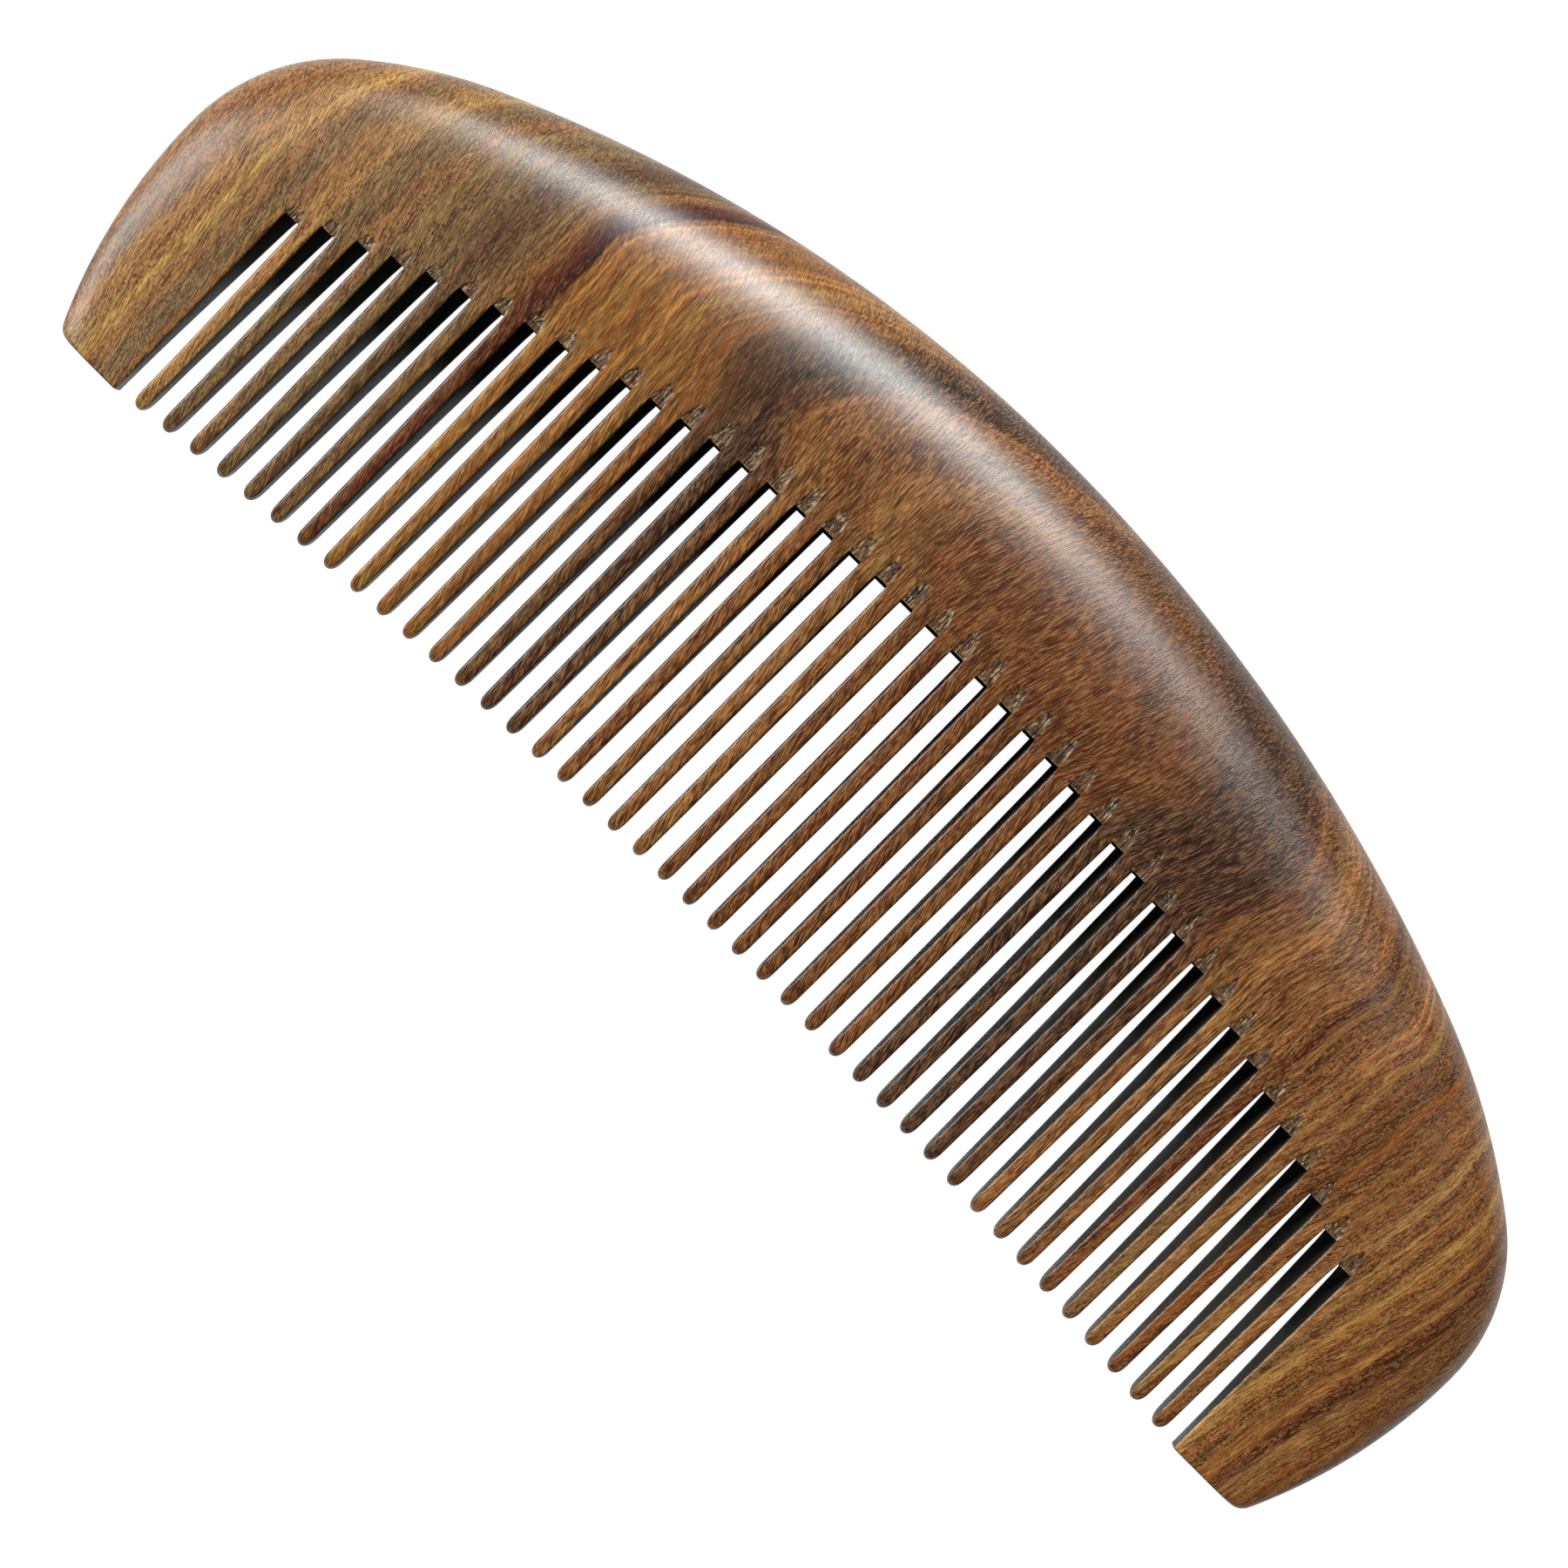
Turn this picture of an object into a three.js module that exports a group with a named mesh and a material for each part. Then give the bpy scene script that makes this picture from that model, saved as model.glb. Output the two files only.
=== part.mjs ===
// A half-moon hair comb with wide-set teeth, cut from one board of figured hardwood.
//
// The comb lies flat. X runs along its length, +Y points at the arched back, -Y at the tooth tips, and
// Z is its thickness. The origin is under the middle of the comb, level with its lowest point.
//
// The board is a wedge: thin at the tips and thick under the back, with an elliptical edge all round.
// Its sub-parts are the back, two end guards and the teeth between them. They meet face to face along
// the root line, so the slots between the teeth stay open.

import * as THREE from 'three';

// ---- Driving dimensions, in millimetres and degrees ----

const WIDTH = 59.56;                    // from the flat ends of the guards to the top of the back
const TOOTH_COUNT = 42;
const PITCH = 3.35;                     // from one tooth to the next
const ARRAY_X = -0.59;                  // middle of the row of teeth

// The back is an arch. Each side is three arcs that start level at the apex, and the third one, the
// shoulder, ends upright at the comb's widest point, level with the root of the end slot.
const ARCH = {
  left: [{ radius: 154, sweep: 24 }, { radius: 50, sweep: 16.4 }],
  right: [{ radius: 177.8, sweep: 21 }, { radius: 69, sweep: 16.8 }],
};
const FLANK_RADIUS = 54;                // outer edge of a guard, below the widest point
const GUARD_CORNER_RADIUS = 1.8;

const ROOT_APEX_Y = 9.03;               // root of the middle slots
const ROOT_END_Y = -6.25;               // root of the two end slots
const TIP_APEX_Y = -26.05;              // tips of the middle teeth
const TIP_LINE_RADIUS = 670;

// Half of the board's thickness grows evenly from the tips towards the back, between two limits.
const THIN_HALF = 1.25;
const THICK_HALF = 6.25;
const WEDGE_HALF = 1.55;                // half thickness at WEDGE_Y
const WEDGE_Y = -22.8;
const WEDGE_SLOPE = 0.13;
const THIN_BLEND = 0.2;                 // how softly the wedge meets each limit
const THICK_BLEND = 0.4;
const RIM_ASPECT = 2.2;                 // depth of the elliptical edge over the half thickness
const RIM_ANGLES = [0, 12, 27, 45, 64, 80, 90];

// A tooth's width is a quadratic in the distance from its tip.
const TIP_WIDTH = 1.48;
const WIDTH_GAIN = 0.002;
const WIDTH_GAIN_SQUARED = 0.00025;
const TOOTH_CHAMFER = 0.3;

// Sections near a tooth's blunt tip: distance from the tip, and the share of width and thickness left.
const TIP_SECTIONS = [
  { along: 0, width: 0.45, thickness: 0.4 },
  { along: 0.35, width: 0.78, thickness: 0.72 },
  { along: 1, width: 0.95, thickness: 0.93 },
  { along: 2.4, width: 1, thickness: 1 },
];
const TOOTH_MID_Y = -22.8;              // level above which a tooth's faces are an even wedge

const OUTLINE_STEP = 3;                 // spacing of points along the curved outline
const GUARD_ROWS = 8;

const BACK_TONE = { color: 0x8a5b2e, roughness: 0.42 };
const GUARD_TONE = { color: 0x96642f, roughness: 0.42 };
const TOOTH_TONES = [0x7a4f28, 0x99662f, 0x6b4022];

const TOP_Y = WIDTH / 2;
const FLAT_END_Y = -WIDTH / 2;
const DEGREE = Math.PI / 180;

// ---- Thickness ----

function softplus(value, blend) {
  return blend * Math.log1p(Math.exp(value / blend));
}

/** Half of the board's thickness at a level y, before the edge is rounded. */
function wedgeHalf(y) {
  const even = WEDGE_HALF + WEDGE_SLOPE * (y - WEDGE_Y);
  const floored = THIN_HALF + softplus(even - THIN_HALF, THIN_BLEND);
  return THICK_HALF - softplus(THICK_HALF - floored, THICK_BLEND);
}

/** Depth from the outline and height over the mid-plane for each step round the elliptical edge. */
function rimSteps(half) {
  return RIM_ANGLES.map((angle) => ({
    depth: RIM_ASPECT * half * (1 - Math.cos(angle * DEGREE)),
    share: angle === 90 ? 1 : Math.sin(angle * DEGREE),
  }));
}

// The mid-plane lies at the height of the thickest place, which is on the rim under the arch's apex.
const APEX_RIM = rimSteps(wedgeHalf(TOP_Y));
const MID_Z = Math.max(...APEX_RIM.map(({ depth, share }) => wedgeHalf(TOP_Y - depth) * share));

// ---- Outline ----

/** Points of one side's outline from the apex to the widest point, each with its inward normal. */
function traceArch(arcs, side) {
  const points = [];
  let x = 0;
  let y = TOP_Y;
  let heading = 0;
  const turn = (radius, sweep) => {
    const centreX = x - radius * Math.sin(heading);
    const centreY = y - radius * Math.cos(heading);
    const steps = Math.ceil(radius * sweep / OUTLINE_STEP);
    for (let i = points.length ? 1 : 0; i <= steps; i++) {
      const angle = heading + sweep * i / steps;
      const upright = heading + sweep >= Math.PI / 2 && i === steps;
      points.push({
        x: side * (centreX + radius * Math.sin(angle)),
        y: upright ? ROOT_END_Y : centreY + radius * Math.cos(angle),
        inX: -side * Math.sin(angle),
        inY: upright ? 0 : -Math.cos(angle),
      });
    }
    heading += sweep;
    x = centreX + radius * Math.sin(heading);
    y = centreY + radius * Math.cos(heading);
  };
  arcs.forEach(({ radius, sweep }) => turn(radius, sweep * DEGREE));
  turn((y - ROOT_END_Y) / Math.cos(heading), Math.PI / 2 - heading);
  return points;
}

/** The whole arch from the left widest point to the right one, centred on x = 0. */
function archOutline() {
  const left = traceArch(ARCH.left, -1);
  const right = traceArch(ARCH.right, 1);
  const middle = (left.at(-1).x + right.at(-1).x) / 2;
  const all = [...left.reverse(), ...right.slice(1)];
  return all.map((point) => ({ ...point, x: point.x - middle }));
}

const OUTLINE = archOutline();
const HALF_LENGTH = OUTLINE.at(-1).x;

/** Heading, from the top of the circle, at which a guard's flank gives way to its corner. */
function flankEnd() {
  const drop = FLAT_END_Y - ROOT_END_Y + GUARD_CORNER_RADIUS;
  return Math.acos(drop / (FLANK_RADIUS - GUARD_CORNER_RADIUS));
}

/** A guard's outer edge: levels from the root line to the flat end, with the reach from x = 0. */
function guardEdge() {
  const last = flankEnd();
  const flankX = HALF_LENGTH - FLANK_RADIUS;
  const edge = [];
  for (let i = 0; i <= GUARD_ROWS; i++) {
    const heading = Math.PI / 2 + (last - Math.PI / 2) * i / GUARD_ROWS;
    edge.push({
      reach: flankX + FLANK_RADIUS * Math.sin(heading),
      y: i ? ROOT_END_Y + FLANK_RADIUS * Math.cos(heading) : ROOT_END_Y,
      slant: Math.sin(heading),
    });
  }
  const cornerX = flankX + (FLANK_RADIUS - GUARD_CORNER_RADIUS) * Math.sin(last);
  const cornerY = FLAT_END_Y + GUARD_CORNER_RADIUS;
  const cornerRows = 3;
  for (let i = 1; i <= cornerRows; i++) {
    const heading = last + (Math.PI - last) * i / cornerRows;
    edge.push({
      reach: cornerX + GUARD_CORNER_RADIUS * Math.sin(heading),
      y: i < cornerRows ? cornerY + GUARD_CORNER_RADIUS * Math.cos(heading) : FLAT_END_Y,
      slant: Math.sin(last),
    });
  }
  return edge;
}

// ---- Teeth and slots ----

function toothX(number) {
  return ARRAY_X + (number - (TOOTH_COUNT + 1) / 2) * PITCH;
}

function slotX(number) {
  return ARRAY_X + (number - TOOTH_COUNT / 2) * PITCH;
}

/** Level of a slot's root: the roots lie on one arc over the row of teeth. */
function rootY(slot) {
  if (slot === 0 || slot === TOOTH_COUNT) return ROOT_END_Y;
  const half = TOOTH_COUNT / 2 * PITCH;
  const rise = ROOT_APEX_Y - ROOT_END_Y;
  const radius = (half * half + rise * rise) / (2 * rise);
  return ROOT_APEX_Y - radius + Math.sqrt(radius ** 2 - (slotX(slot) - ARRAY_X) ** 2);
}

function tipY(number) {
  const across = toothX(number) - ARRAY_X;
  return TIP_APEX_Y - TIP_LINE_RADIUS + Math.sqrt(TIP_LINE_RADIUS ** 2 - across ** 2);
}

function toothWidth(fromTip) {
  return TIP_WIDTH + WIDTH_GAIN * fromTip + WIDTH_GAIN_SQUARED * fromTip ** 2;
}

/** The two ends of the line along which a tooth joins the back, each at the corner of a slot. */
function toothRoot(number) {
  const leftY = rootY(number - 1);
  const rightY = rootY(number);
  return {
    left: { x: toothX(number) - toothWidth(leftY - tipY(number)) / 2, y: leftY },
    right: { x: toothX(number) + toothWidth(rightY - tipY(number)) / 2, y: rightY },
  };
}

/** Distance from x = 0 to a guard's inner wall, at a level y, on the side given. */
function guardInnerReach(side, y) {
  const slot = side < 0 ? 0 : TOOTH_COUNT;
  const kerf = PITCH - toothWidth(y - FLAT_END_Y);
  return side * slotX(slot) + kerf / 2;
}

// ---- Solids ----

/** A closed faceted body from corner positions and triangles. */
function body(name, corners, triangles, tone) {
  const geometry = new THREE.BufferGeometry();
  const positions = corners.flatMap(([x, y, z]) => [x, y, z + MID_Z]);
  geometry.setAttribute('position', new THREE.Float32BufferAttribute(positions, 3));
  geometry.setIndex(triangles.flat());
  geometry.computeVertexNormals();
  const material = new THREE.MeshStandardMaterial({ metalness: 0, ...tone });
  const mesh = new THREE.Mesh(geometry, material);
  mesh.name = name;
  return mesh;
}

/** Joins a row of equal convex loops, each wound clockwise as seen from the loop after it. */
function loft(name, loops, tone) {
  const size = loops[0].length;
  const triangles = [];
  for (let ring = 0; ring < loops.length - 1; ring++) {
    for (let i = 0; i < size; i++) {
      const a = ring * size + i;
      const b = ring * size + (i + 1) % size;
      triangles.push([a, b, b + size], [a, b + size, a + size]);
    }
  }
  const end = (loops.length - 1) * size;
  for (let i = 1; i < size - 1; i++) {
    triangles.push([0, i + 1, i], [end, end + i, end + i + 1]);
  }
  return body(name, loops.flat(), triangles, tone);
}

/** One cross-section of a guard, at a row of its outer edge, seen from the root line. */
function guardLoop(side, { reach, y, slant }) {
  const half = wedgeHalf(y);
  const upper = rimSteps(half).map(({ depth, share }) => [side * (reach - depth / slant), y, half * share]);
  upper.push([side * guardInnerReach(side, y), y, half]);
  const lower = upper.slice(1).reverse().map(([x, level, z]) => [x, level, -z]);
  const loop = [...upper, ...lower];
  return side < 0 ? loop.reverse() : loop;
}

function endGuard(name, side) {
  const loops = guardEdge().map((row) => guardLoop(side, row));
  return loft(name, loops, GUARD_TONE);
}

/** A tooth's eight-sided section, where levelAt gives y for a distance across from the tooth's middle. */
function toothLoop(number, halfWidth, thicknessShare, levelAt) {
  const chamfer = Math.min(TOOTH_CHAMFER, 0.6 * halfWidth);
  const corners = [
    [-halfWidth, -1, chamfer], [-halfWidth, 1, chamfer],
    [-halfWidth + chamfer, 1, 0], [halfWidth - chamfer, 1, 0],
    [halfWidth, 1, chamfer], [halfWidth, -1, chamfer],
    [halfWidth - chamfer, -1, 0], [-halfWidth + chamfer, -1, 0],
  ];
  return corners.map(([across, face, cut]) => {
    const y = levelAt(across);
    return [toothX(number) + across, y, face * (wedgeHalf(y) * thicknessShare - cut)];
  });
}

function tooth(number) {
  const tip = tipY(number);
  const { left, right } = toothRoot(number);
  const loops = TIP_SECTIONS.map(({ along, width, thickness }) => {
    const halfWidth = toothWidth(along) * width / 2;
    return toothLoop(number, halfWidth, thickness, () => tip + along);
  });
  if (TOOTH_MID_Y - tip > 2 * TIP_SECTIONS.at(-1).along) {
    loops.push(toothLoop(number, toothWidth(TOOTH_MID_Y - tip) / 2, 1, () => TOOTH_MID_Y));
  }
  const slope = (right.y - left.y) / (right.x - left.x);
  const levelAt = (across) => left.y + slope * (toothX(number) + across - left.x);
  const halfWidth = Math.min(toothX(number) - left.x, right.x - toothX(number));
  loops.push(toothLoop(number, halfWidth, 1, levelAt));
  const name = `tooth_${String(number).padStart(2, '0')}`;
  return loft(name, loops, { color: TOOTH_TONES[number % TOOTH_TONES.length], roughness: 0.48 });
}

/** The back's lower edge from left to right: guard seam, then slot roots and tooth seams in turn. */
function rootLine() {
  const line = [{ x: -guardInnerReach(-1, ROOT_END_Y), y: ROOT_END_Y }];
  for (let number = 1; number <= TOOTH_COUNT; number++) {
    const { left, right } = toothRoot(number);
    line.push(left, right);
  }
  line.push({ x: guardInnerReach(1, ROOT_END_Y), y: ROOT_END_Y });
  return line;
}

/** The arched back: rings of points round the elliptical edge, and a filled face inside them. */
function back() {
  const corners = [];
  const triangles = [];
  const add = (x, y, z) => corners.push([x, y, z]) - 1;

  const columns = OUTLINE.map((point) => rimSteps(wedgeHalf(point.y)).map(({ depth, share }) => {
    const x = point.x + depth * point.inX;
    const y = point.y + depth * point.inY;
    const z = wedgeHalf(y) * share;
    if (!share) return { x, y, upper: add(x, y, 0) };
    return { x, y, upper: add(x, y, z), lower: add(x, y, -z) };
  }));
  columns.forEach((column) => { column[0].lower = column[0].upper; });
  const roots = rootLine().map(({ x, y }) => {
    const z = wedgeHalf(y);
    return { x, y, upper: add(x, y, z), lower: add(x, y, -z) };
  });

  const face = (a, b, c) => {
    triangles.push([a.upper, b.upper, c.upper], [a.lower, c.lower, b.lower]);
  };
  for (let i = 0; i < columns.length - 1; i++) {
    for (let k = 0; k < RIM_ANGLES.length - 1; k++) {
      const [outer, outerNext] = [columns[i][k], columns[i + 1][k]];
      const [inner, innerNext] = [columns[i][k + 1], columns[i + 1][k + 1]];
      face(inner, innerNext, outer);
      face(innerNext, outerNext, outer);
    }
  }
  const inside = [...roots, ...columns.map((column) => column.at(-1)).reverse()];
  const flat = inside.map(({ x, y }) => new THREE.Vector2(x, y));
  THREE.ShapeUtils.triangulateShape(flat, []).forEach(([a, b, c]) => {
    face(inside[a], inside[b], inside[c]);
  });

  const edge = [...columns[0], ...roots, ...columns.at(-1).slice().reverse()];
  for (let i = 0; i < edge.length - 1; i++) {
    const [a, b] = [edge[i], edge[i + 1]];
    if (a.upper !== a.lower) triangles.push([a.upper, a.lower, b.lower]);
    if (b.upper !== b.lower) triangles.push([a.upper, b.lower, b.upper]);
  }
  return body('back', corners, triangles, BACK_TONE);
}

const comb = new THREE.Group();
comb.add(back(), endGuard('end_guard_left', -1), endGuard('end_guard_right', 1));
for (let number = 1; number <= TOOTH_COUNT; number++) {
  comb.add(tooth(number));
}

export default comb;
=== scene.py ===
"""A half-moon hair comb of figured hardwood, lying flat on a pale studio floor.

Shapes are worked out in millimetres with the comb's middle plane at z = 0, and mesh_piece() moves them
into the frame in metres. X runs along the comb, +Y points at the arched back and -Y at the tooth tips.
"""

import math

import bpy
import numpy as np
from mathutils import Matrix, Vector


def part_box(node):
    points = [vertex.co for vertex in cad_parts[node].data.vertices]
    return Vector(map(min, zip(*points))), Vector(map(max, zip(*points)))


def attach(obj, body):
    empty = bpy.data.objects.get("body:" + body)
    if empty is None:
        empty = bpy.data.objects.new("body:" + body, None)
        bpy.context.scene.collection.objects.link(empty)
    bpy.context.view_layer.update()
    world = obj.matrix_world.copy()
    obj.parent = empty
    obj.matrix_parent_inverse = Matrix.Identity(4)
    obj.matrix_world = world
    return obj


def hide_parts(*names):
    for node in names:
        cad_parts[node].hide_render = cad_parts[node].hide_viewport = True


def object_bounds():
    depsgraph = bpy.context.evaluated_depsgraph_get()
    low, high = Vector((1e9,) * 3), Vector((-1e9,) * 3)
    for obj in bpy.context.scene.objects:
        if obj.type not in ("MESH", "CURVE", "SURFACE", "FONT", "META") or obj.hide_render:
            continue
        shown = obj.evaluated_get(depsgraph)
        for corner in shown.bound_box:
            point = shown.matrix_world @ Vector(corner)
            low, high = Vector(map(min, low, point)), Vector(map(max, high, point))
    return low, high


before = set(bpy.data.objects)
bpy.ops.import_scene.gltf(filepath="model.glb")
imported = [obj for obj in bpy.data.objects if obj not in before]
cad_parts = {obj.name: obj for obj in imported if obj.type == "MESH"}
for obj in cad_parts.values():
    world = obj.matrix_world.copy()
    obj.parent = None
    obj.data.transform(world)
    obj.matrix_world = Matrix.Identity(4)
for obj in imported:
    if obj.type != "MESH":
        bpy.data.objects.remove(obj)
cad_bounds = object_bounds()

MM = 0.001
BODY = "root"
TOOTH_COUNT = 42

# ---- The comb's places, from the frame, in millimetres ----

LOWEST, HIGHEST = (np.array(corner) / MM for corner in cad_bounds)
HALF_LENGTH = (HIGHEST[0] - LOWEST[0]) / 2
TOP_Y = HIGHEST[1]
FLAT_END_Y = LOWEST[1]
MID_Z = (HIGHEST[2] + LOWEST[2]) / 2


def node_box(node):
    return [np.array(corner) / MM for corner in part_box(node)]


TOOTH_BOXES = [node_box(f"tooth_{number:02d}") for number in range(1, TOOTH_COUNT + 1)]
TOOTH_X = [(low[0] + high[0]) / 2 for low, high in TOOTH_BOXES]
TIP_Y = [low[1] for low, high in TOOTH_BOXES]
PITCH = (TOOTH_X[-1] - TOOTH_X[0]) / (TOOTH_COUNT - 1)
SLOT_X = [TOOTH_X[0] - PITCH / 2 + slot * PITCH for slot in range(TOOTH_COUNT + 1)]
ROOT_END_Y = node_box("end_guard_left")[1][1]

# ---- The comb's shape, in millimetres and degrees ----

ARCH_LEFT = [(154, 24), (50, 16.4)]         # radius and sweep of each arc from the apex outwards
ARCH_RIGHT = [(177.8, 21), (69, 16.8)]
FLANK_RADIUS = 54
GUARD_CORNER_RADIUS = 1.8

# Limits of half the board's thickness. The upper one is a little under the solid's, whose rim has fewer
# facets, so that the rounder rim here stays inside its box.
THIN_HALF, THICK_HALF = 1.25, 6.235
WEDGE_HALF, WEDGE_Y, WEDGE_SLOPE = 1.55, -22.8, 0.13
THIN_BLEND, THICK_BLEND = 0.2, 0.4
RIM_ASPECT = 2.2                            # depth of the elliptical edge over the half thickness

TIP_WIDTH, WIDTH_GAIN, WIDTH_GAIN_SQUARED = 1.48, 0.002, 0.00025
TIP_ROUND, TIP_POWER = 1.3, 2.3             # how far the blunt tip's rounding reaches, and its shape
TIP_THINNING = 3.0                          # how far the tip's taper in thickness reaches
TOOTH_EDGE = 0.3                            # rounding of a tooth's long edges
ROOT_EDGE = 0.08                            # rounding of the slot's root, and of edges that meet it
EDGE_FADE = 1.4                             # over which a tooth's rounding dies out at its root

# The saw's run-out above each slot: a shallow feathered groove, shorter towards the left end.
RUNOUT_LENGTH_LEFT, RUNOUT_LENGTH = 1.4, 2.9
RUNOUT_DEPTH = 0.26
RUNOUT_BAND = 3.5                           # height of the finer mesh rows that hold the groove
GUARD_END_ROUND = 0.25                      # rounding of a guard's flat end
SHARP_ANGLE = 42                            # degrees between faces from which an edge is drawn sharp

# ---- Mesh density ----

OUTLINE_STEP = 0.2
RIM_STEPS = 14
SLOT_COLUMNS, TOOTH_COLUMNS, SEAM_COLUMNS = 12, 6, 18
FACE_ROWS = 11


def softplus(value, blend):
    return blend * np.logaddexp(0, value / blend)


def wedge_half(y):
    """Half of the board's thickness at a level y, before the edge is rounded."""
    even = WEDGE_HALF + WEDGE_SLOPE * (y - WEDGE_Y)
    floored = THIN_HALF + softplus(even - THIN_HALF, THIN_BLEND)
    return THICK_HALF - softplus(THICK_HALF - floored, THICK_BLEND)


def smooth_rise(value, low, high):
    share = np.clip((value - low) / (high - low), 0, 1)
    return share * share * (3 - 2 * share)


# ---- Outline ----

def trace_arch(arcs, side):
    """Rows of x, y and inward normal along one side's outline, from the apex to the widest point."""
    rows = []
    x, y, heading = 0.0, TOP_Y, 0.0
    arcs = [(radius, math.radians(sweep)) for radius, sweep in arcs]
    arcs.append((None, math.pi / 2 - sum(sweep for radius, sweep in arcs)))
    for radius, sweep in arcs:
        if radius is None:
            radius = (y - ROOT_END_Y) / math.cos(heading)
        centre_x = x - radius * math.sin(heading)
        centre_y = y - radius * math.cos(heading)
        steps = math.ceil(radius * sweep / OUTLINE_STEP)
        turned = heading + sweep * np.arange(1 if rows else 0, steps + 1) / steps
        rows.append(np.column_stack([
            side * (centre_x + radius * np.sin(turned)), centre_y + radius * np.cos(turned),
            -side * np.sin(turned), -np.cos(turned)]))
        heading += sweep
        x = centre_x + radius * math.sin(heading)
        y = centre_y + radius * math.cos(heading)
    return np.vstack(rows)


def arch_outline():
    """The back's outline from the left widest point to the right one."""
    left, right = trace_arch(ARCH_LEFT, -1), trace_arch(ARCH_RIGHT, 1)
    outline = np.vstack([left[::-1], right[1:]])
    outline[:, 0] += HALF_LENGTH - outline[-1, 0]
    return outline


def guard_reach(y):
    """How far a guard's outer edge stands from x = 0 at a level y, and how upright it is there."""
    flank_x = HALF_LENGTH - FLANK_RADIUS
    inner_radius = FLANK_RADIUS - GUARD_CORNER_RADIUS
    last = math.acos((FLAT_END_Y - ROOT_END_Y + GUARD_CORNER_RADIUS) / inner_radius)
    on_flank = np.arccos(np.clip((y - ROOT_END_Y) / FLANK_RADIUS, -1, 1))
    heading = np.minimum(on_flank, last)
    reach = flank_x + FLANK_RADIUS * np.sin(heading)
    corner_x = flank_x + inner_radius * math.sin(last)
    below = np.clip((FLAT_END_Y + GUARD_CORNER_RADIUS - y) / GUARD_CORNER_RADIUS, 0, 1)
    in_corner = corner_x + GUARD_CORNER_RADIUS * np.sqrt(1 - below ** 2)
    return np.where(on_flank > last, in_corner, reach), np.sin(heading)


# ---- Teeth and slots ----

def tooth_width(from_tip):
    return TIP_WIDTH + WIDTH_GAIN * from_tip + WIDTH_GAIN_SQUARED * from_tip ** 2


def slot_root(slot):
    """Level of a slot's root, which is the lower of its two teeth's highest points."""
    if slot in (0, TOOTH_COUNT):
        return ROOT_END_Y
    return min(TOOTH_BOXES[slot - 1][1][1], TOOTH_BOXES[slot][1][1])


SLOT_ROOT = [slot_root(slot) for slot in range(TOOTH_COUNT + 1)]


def tooth_root(index):
    """The two ends, left and right, of the line where a tooth joins the back."""
    ends = []
    for side, level in ((-1, SLOT_ROOT[index]), (1, SLOT_ROOT[index + 1])):
        ends.append((TOOTH_X[index] + side * tooth_width(level - TIP_Y[index]) / 2, level))
    return ends


def guard_wall(side, y):
    """Distance from x = 0 to a guard's inner wall at a level y."""
    kerf = PITCH - tooth_width(y - FLAT_END_Y)
    return side * SLOT_X[0 if side < 0 else TOOTH_COUNT] + kerf / 2


# ---- Meshes ----

def mesh_piece(name, node, corners, faces, material, **attributes):
    """Makes a smooth closed piece that stands for a CAD node, with a float attribute for each name given."""
    mesh = bpy.data.meshes.new(name)
    placed = (np.asarray(corners, float) + (0, 0, MID_Z)) * MM
    mesh.from_pydata(placed.tolist(), [], faces)
    for attribute, values in attributes.items():
        mesh.attributes.new(attribute, "FLOAT", "POINT").data.foreach_set("value", np.asarray(values, "f"))
    mesh.materials.append(material)
    mesh.validate()
    mesh.shade_smooth()
    mesh.set_sharp_from_angle(angle=math.radians(SHARP_ANGLE))
    piece = bpy.data.objects.new(name, mesh)
    bpy.context.scene.collection.objects.link(piece)
    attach(piece, BODY)
    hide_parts(node)
    return piece


def root_columns():
    """x, root level, slot number and place across the slot (-1 to 1) of every column of the back."""
    columns = []

    def span(start, end, count, slot=-1):
        for i in range(count):
            share = i / count
            x, y = (a + (b - a) * share for a, b in zip(start, end))
            columns.append((x, y, slot, 2 * share - 1))

    seam_depth = RIM_ASPECT * wedge_half(ROOT_END_Y)
    left = (-HALF_LENGTH + seam_depth, ROOT_END_Y)
    for index in range(TOOTH_COUNT):
        root_left, root_right = tooth_root(index)
        if index == 0:
            corner = (-guard_wall(-1, ROOT_END_Y), ROOT_END_Y)
            span(left, corner, SEAM_COLUMNS)
            left = corner
        span(left, root_left, SLOT_COLUMNS, index)
        span(root_left, root_right, TOOTH_COLUMNS)
        left = root_right
    corner = (guard_wall(1, ROOT_END_Y), ROOT_END_Y)
    end = (HALF_LENGTH - seam_depth, ROOT_END_Y)
    span(left, corner, SLOT_COLUMNS, TOOTH_COUNT)
    span(corner, end, SEAM_COLUMNS)
    columns.append((*end, -1, 0))
    return [np.array(column) for column in zip(*columns)]


def runout(x, above_root, slot, across, random):
    """Depth of the feathered run-out groove, and its share from 1 at the slot to 0 at its end."""
    full = RUNOUT_LENGTH_LEFT + (RUNOUT_LENGTH - RUNOUT_LENGTH_LEFT) * smooth_rise(x, -60, -15)
    blunt_part = 0.55 * (1 - smooth_rise(x, 10, 45))
    beside = np.clip((np.abs(across) - blunt_part) / (1 - blunt_part), 0, 1)
    flame = 1 - 0.85 * beside ** 1.3
    length = full * flame * random.uniform(0.8, 1.12, x.shape)
    depth = RUNOUT_DEPTH * random.uniform(0.25, 1, x.shape) * (1 - across ** 8)
    share = np.clip(1 - above_root / length, 0, 1) * (slot >= 0)
    rough = random.uniform(0.7, 1.3, above_root.shape)
    return depth * share ** 0.5 * rough, share


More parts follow.
